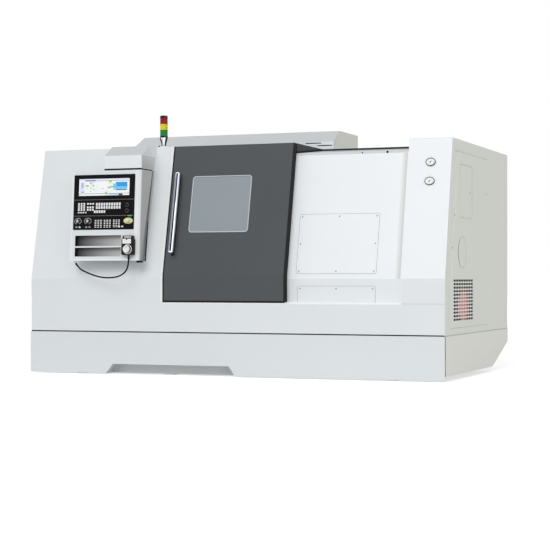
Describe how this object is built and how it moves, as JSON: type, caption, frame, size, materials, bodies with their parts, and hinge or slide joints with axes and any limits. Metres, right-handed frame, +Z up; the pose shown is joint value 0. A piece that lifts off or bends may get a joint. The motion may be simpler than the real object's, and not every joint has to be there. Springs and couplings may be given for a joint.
{
  "type": "cnc turning lathe",
  "caption": "Enclosed slant-bed turning lathe with a sliding door, swivelling control pendant, chuck, turret and tailstock.",
  "frame": {"origin": "on the floor under the middle of the machine's length and depth", "axes": "+X to the right along the spindle, +Y from the operator's side to the rear, +Z up"},
  "size_m": [3.92, 2.5056, 2.344],
  "materials": {
    "frame_steel": "matt structural paint",
    "zinc": "zinc plated",
    "white_paint": "fine textured powder coat",
    "grey_paint": "fine textured powder coat",
    "dark_paint": "satin powder coat",
    "dark_rail": "satin black",
    "chamber_steel": "oil resistant satin paint",
    "red_paint": "gloss enamel",
    "rubber": "moulded",
    "window_trim": "satin moulded",
    "window": "laminated, lightly frosted",
    "chrome": "satin chrome",
    "grey_plastic": "moulded",
    "red_lens": "moulded lens",
    "yellow_lens": "moulded lens",
    "green_lens": "moulded lens",
    "gauge_face": "printed dial",
    "panel_black": "fine texture",
    "screen_glass": "anti glare screen",
    "knob_black": "moulded",
    "estop": "moulded",
    "white_plastic": "moulded",
    "cable_black": "smooth jacket",
    "casting": "painted casting with ground ways",
    "ground_steel": "ground and polished",
    "pulley_iron": "machined",
    "motor_grey": "enamel"
  },
  "bodies": {
    "machine": {"base_frame": "frame_steel", "levelling_feet": "zinc", "base_front_panel": "white_paint", "end_skirts": "white_paint", "front_panel": "white_paint", "right_column": "white_paint", "fixed_panel": "white_paint", "inspection_covers": "white_paint", "left_end_panel": "white_paint", "right_end_panel": "white_paint", "right_service_panel": "white_paint", "rear_panel": "white_paint", "roof_panel": "white_paint", "top_cover": "grey_paint", "upper_rail": "dark_rail", "lower_rail": "dark_rail", "chamber_walls": "chamber_steel", "chamber_back": "chamber_steel", "chip_tray": "chamber_steel", "hydraulic_unit": "red_paint", "tower_base": "grey_plastic", "tower_lens_red": "red_lens", "tower_lens_yellow": "yellow_lens", "tower_lens_green": "green_lens", "gauges": "gauge_face", "arm_box": "white_paint", "pivot_pin": "zinc", "bed": "casting", "headstock": "casting", "spindle_motor": "motor_grey", "drive_belt": "rubber", "screw_supports": "pulley_iron"},
    "door": {"door_panel": "dark_paint", "window_frame": "window_trim", "window_pane": "window", "door_handle": "chrome"},
    "pendant": {"pendant_housing": "white_paint", "control_panel": "panel_black", "screen": "screen_glass", "hand_unit": "knob_black", "hand_cable": "cable_black"},
    "dial_left": {"override_dial_left": "knob_black"},
    "dial_right": {"override_dial_right": "knob_black"},
    "estop": {"estop_button": "estop"},
    "handwheel": {"hand_wheel": "white_plastic"},
    "spindle": {"spindle": "ground_steel", "spindle_pulley": "pulley_iron", "chuck_body": "ground_steel"},
    "jaw_1": {"chuck_jaw_1": "ground_steel"},
    "jaw_2": {"chuck_jaw_2": "ground_steel"},
    "jaw_3": {"chuck_jaw_3": "ground_steel"},
    "motor_rotor": {"motor_pulley": "pulley_iron"},
    "carriage": {"saddle": "casting"},
    "cross": {"cross_slide": "casting", "turret_housing": "casting"},
    "turret": {"turret_disc": "ground_steel"},
    "screw": {"long_screw": "ground_steel"},
    "tailstock": {"tailstock": "casting"},
    "quill": {"quill": "ground_steel"},
    "centre": {"live_centre": "ground_steel"}
  },
  "joints": [
    {"name": "door_slide", "type": "slide", "parent": "machine", "child": "door", "axis": [1, 0, 0], "range_m": [0, 1.03]},
    {"name": "pendant_swivel", "type": "hinge", "parent": "machine", "child": "pendant", "pos_m": [-0.871, -1.0565, 1.822], "axis": [0, 0, 1], "range_deg": [0, 45]},
    {"name": "dial_left_turn", "type": "hinge", "parent": "pendant", "child": "dial_left", "pos_m": [-1.422, -1.17468, 1.37947], "axis": [0, -0.9978, 0.0665], "range_deg": [-150, 150]},
    {"name": "dial_right_turn", "type": "hinge", "parent": "pendant", "child": "dial_right", "pos_m": [-1.322, -1.17468, 1.37947], "axis": [0, -0.9978, 0.0665], "range_deg": [-150, 150]},
    {"name": "estop_press", "type": "slide", "parent": "pendant", "child": "estop", "axis": [0, 0.9978, -0.0665], "range_m": [0, 0.008]},
    {"name": "handwheel_turn", "type": "hinge", "parent": "pendant", "child": "handwheel", "pos_m": [-0.906, -1.22989, 1.12258], "axis": [0, -0.9978, 0.0665], "continuous": true},
    {"name": "spindle_turn", "type": "hinge", "parent": "machine", "child": "spindle", "pos_m": [-0.9, -0.5165, 1.08], "axis": [1, 0, 0], "continuous": true},
    {"name": "jaw_1_slide", "type": "slide", "parent": "spindle", "child": "jaw_1", "axis": [0, 0, 1], "range_m": [0, 0.008]},
    {"name": "jaw_2_slide", "type": "slide", "parent": "spindle", "child": "jaw_2", "axis": [0, -0.866, -0.5], "range_m": [0, 0.008]},
    {"name": "jaw_3_slide", "type": "slide", "parent": "spindle", "child": "jaw_3", "axis": [0, 0.866, -0.5], "range_m": [0, 0.008]},
    {"name": "motor_turn", "type": "hinge", "parent": "machine", "child": "motor_rotor", "pos_m": [-1.3, -0.4365, 0.56], "axis": [1, 0, 0], "continuous": true},
    {"name": "carriage_slide", "type": "slide", "parent": "machine", "child": "carriage", "axis": [1, 0, 0], "range_m": [-0.52, 0.18]},
    {"name": "cross_slide_travel", "type": "slide", "parent": "carriage", "child": "cross", "axis": [0, -0.7071, -0.7071], "range_m": [0, 0.2]},
    {"name": "turret_index", "type": "hinge", "parent": "cross", "child": "turret", "pos_m": [0.3, -0.19123, 1.40527], "axis": [1, 0, 0], "continuous": true},
    {"name": "screw_turn", "type": "hinge", "parent": "machine", "child": "screw", "pos_m": [0, -0.10072, 1.04606], "axis": [1, 0, 0], "range_deg": [-15601, 5401]},
    {"name": "tailstock_slide", "type": "slide", "parent": "machine", "child": "tailstock", "axis": [1, 0, 0], "range_m": [0, 0.35]},
    {"name": "quill_slide", "type": "slide", "parent": "tailstock", "child": "quill", "axis": [-1, 0, 0], "range_m": [0, 0.15]},
    {"name": "centre_turn", "type": "hinge", "parent": "quill", "child": "centre", "pos_m": [0.8, -0.5165, 1.08], "axis": [1, 0, 0], "continuous": true}
  ],
  "couplings": [
    {"joint": "motor_turn", "follows": "spindle_turn", "ratio": 1.6645},
    {"joint": "jaw_2_slide", "follows": "jaw_1_slide", "ratio": 1},
    {"joint": "jaw_3_slide", "follows": "jaw_1_slide", "ratio": 1},
    {"joint": "screw_turn", "follows": "carriage_slide", "rad_per_m": 523.6}
  ]
}
